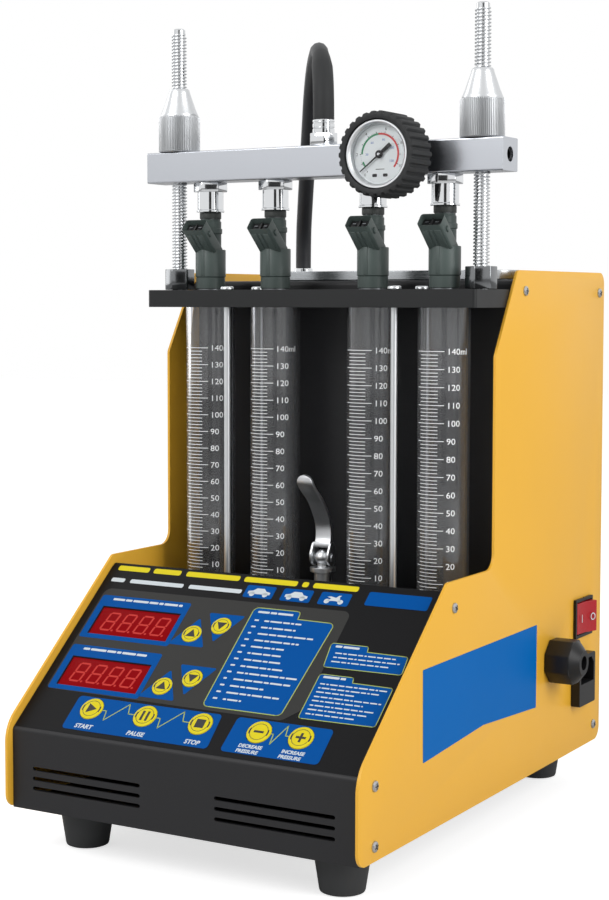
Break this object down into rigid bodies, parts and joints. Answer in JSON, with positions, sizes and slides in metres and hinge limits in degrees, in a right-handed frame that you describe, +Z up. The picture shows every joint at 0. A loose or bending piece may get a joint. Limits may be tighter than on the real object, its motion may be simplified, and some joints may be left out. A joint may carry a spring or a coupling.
{
  "type": "ultrasonic fuel injector cleaner and tester",
  "caption": "Bench ultrasonic injector cleaner with a yellow folded case, black control panel, glass measuring tubes, injectors under an aluminium fuel rail, gauge, hose and bath.",
  "frame": {"origin": "centre of the bounding box on the floor under the feet", "axes": "+X to the right seen from the control panel, +Y to the back, +Z up"},
  "size_m": [0.3154, 0.417, 0.5955],
  "materials": {
    "gold_paint": "semi gloss powder coat",
    "black_paint": "satin powder coat",
    "black_plate": "black anodised",
    "rubber": "matt",
    "hose_rubber": "smooth",
    "black_plastic": "fine grain",
    "red_plastic": "gloss",
    "yellow_plastic": "printed film",
    "display_board": "red filter film",
    "stainless_steel": "brushed",
    "chrome": "polished",
    "aluminium": "brushed",
    "tube_glass": "clear",
    "injector_plastic": "moulded",
    "dial_white": "satin",
    "needle_black": "matt"
  },
  "bodies": {
    "casing": {"left_side_panel": "gold_paint", "right_side_panel": "gold_paint", "front_fascia": "black_paint", "base_pan": "black_paint", "rear_panel": "black_paint", "upper_housing": "black_paint", "ultrasonic_tank": "stainless_steel", "ultrasonic_transducer": "stainless_steel", "display_board": "display_board", "fluid_pump": "black_plastic", "rocker_bezel": "black_plastic", "power_inlet": "black_plastic", "signal_gland": "black_plastic", "front_left_foot": "rubber", "front_right_foot": "rubber", "rear_left_foot": "rubber", "rear_right_foot": "rubber", "tube_base": "black_plate", "measuring_tube_1": "tube_glass", "measuring_tube_2": "tube_glass", "measuring_tube_3": "tube_glass", "measuring_tube_4": "tube_glass", "tube_top_plate": "black_plate", "front_left_tie_rod": "chrome", "rear_left_tie_rod": "chrome", "front_right_tie_rod": "chrome", "rear_right_tie_rod": "chrome", "drain_valve_body": "chrome", "left_threaded_post": "stainless_steel", "right_threaded_post": "stainless_steel", "left_lock_nut": "black_plate", "right_lock_nut": "black_plate", "hose": "hose_rubber", "hose_bulkhead": "chrome"},
    "rail": {"fuel_rail": "aluminium", "rail_adapter_1": "chrome", "rail_adapter_2": "chrome", "rail_adapter_3": "chrome", "rail_adapter_4": "chrome", "injector_1": "injector_plastic", "injector_2": "injector_plastic", "injector_3": "injector_plastic", "injector_4": "injector_plastic", "gauge_boot": "rubber", "gauge_case": "dial_white", "hose_fitting": "chrome"},
    "left_nut": {"left_clamp_nut": "stainless_steel"},
    "right_nut": {"right_clamp_nut": "stainless_steel"},
    "needle": {"gauge_needle": "needle_black"},
    "lever": {"drain_lever": "chrome"},
    "rocker": {"rocker_button": "red_plastic"},
    "upper_up": {"upper_up_key": "yellow_plastic"},
    "upper_down": {"upper_down_key": "yellow_plastic"},
    "lower_up": {"lower_up_key": "yellow_plastic"},
    "lower_down": {"lower_down_key": "yellow_plastic"},
    "start": {"start_key": "yellow_plastic"},
    "pause": {"pause_key": "yellow_plastic"},
    "stop": {"stop_key": "yellow_plastic"},
    "pressure_down": {"pressure_down_key": "yellow_plastic"},
    "pressure_up": {"pressure_up_key": "yellow_plastic"}
  },
  "joints": [
    {"name": "rail_lift", "type": "slide", "parent": "casing", "child": "rail", "axis": [0, 0, 1], "range_m": [0, 0.045], "deforming": ["hose"]},
    {"name": "left_clamp_nut_turn", "type": "hinge", "parent": "rail", "child": "left_nut", "pos_m": [-0.13625, -0.0035, 0.52], "axis": [0, 0, 1], "continuous": true},
    {"name": "right_clamp_nut_turn", "type": "hinge", "parent": "rail", "child": "right_nut", "pos_m": [0.11975, -0.0035, 0.52], "axis": [0, 0, 1], "continuous": true},
    {"name": "gauge_needle_turn", "type": "hinge", "parent": "rail", "child": "needle", "pos_m": [0.06225, -0.0485, 0.48875], "axis": [0, 1, 0], "range_deg": [0, 245.5], "stiffness_Nm_per_rad": 0.0005, "springref_deg": -11.46},
    {"name": "drain_lever_turn", "type": "hinge", "parent": "casing", "child": "lever", "pos_m": [-0.00825, -0.0035, 0.194], "axis": [1, 0, 0], "range_deg": [0, 60]},
    {"name": "rocker_tilt", "type": "hinge", "parent": "casing", "child": "rocker", "pos_m": [0.13175, 0.1675, 0.136], "axis": [0, 0, 1], "range_deg": [0, 21.4]},
    {"name": "upper_up_press", "type": "slide", "parent": "casing", "child": "upper_up", "axis": [0, 0.636, -0.7717], "range_m": [0, 0.0008], "stiffness_N_per_m": 500, "springref_m": -0.001},
    {"name": "upper_down_press", "type": "slide", "parent": "casing", "child": "upper_down", "axis": [0, 0.636, -0.7717], "range_m": [0, 0.0008], "stiffness_N_per_m": 500, "springref_m": -0.001},
    {"name": "lower_up_press", "type": "slide", "parent": "casing", "child": "lower_up", "axis": [0, 0.636, -0.7717], "range_m": [0, 0.0008], "stiffness_N_per_m": 500, "springref_m": -0.001},
    {"name": "lower_down_press", "type": "slide", "parent": "casing", "child": "lower_down", "axis": [0, 0.636, -0.7717], "range_m": [0, 0.0008], "stiffness_N_per_m": 500, "springref_m": -0.001},
    {"name": "start_press", "type": "slide", "parent": "casing", "child": "start", "axis": [0, 0.636, -0.7717], "range_m": [0, 0.0008], "stiffness_N_per_m": 500, "springref_m": -0.001},
    {"name": "pause_press", "type": "slide", "parent": "casing", "child": "pause", "axis": [0, 0.636, -0.7717], "range_m": [0, 0.0008], "stiffness_N_per_m": 500, "springref_m": -0.001},
    {"name": "stop_press", "type": "slide", "parent": "casing", "child": "stop", "axis": [0, 0.636, -0.7717], "range_m": [0, 0.0008], "stiffness_N_per_m": 500, "springref_m": -0.001},
    {"name": "pressure_down_press", "type": "slide", "parent": "casing", "child": "pressure_down", "axis": [0, 0.636, -0.7717], "range_m": [0, 0.0008], "stiffness_N_per_m": 500, "springref_m": -0.001},
    {"name": "pressure_up_press", "type": "slide", "parent": "casing", "child": "pressure_up", "axis": [0, 0.636, -0.7717], "range_m": [0, 0.0008], "stiffness_N_per_m": 500, "springref_m": -0.001}
  ]
}
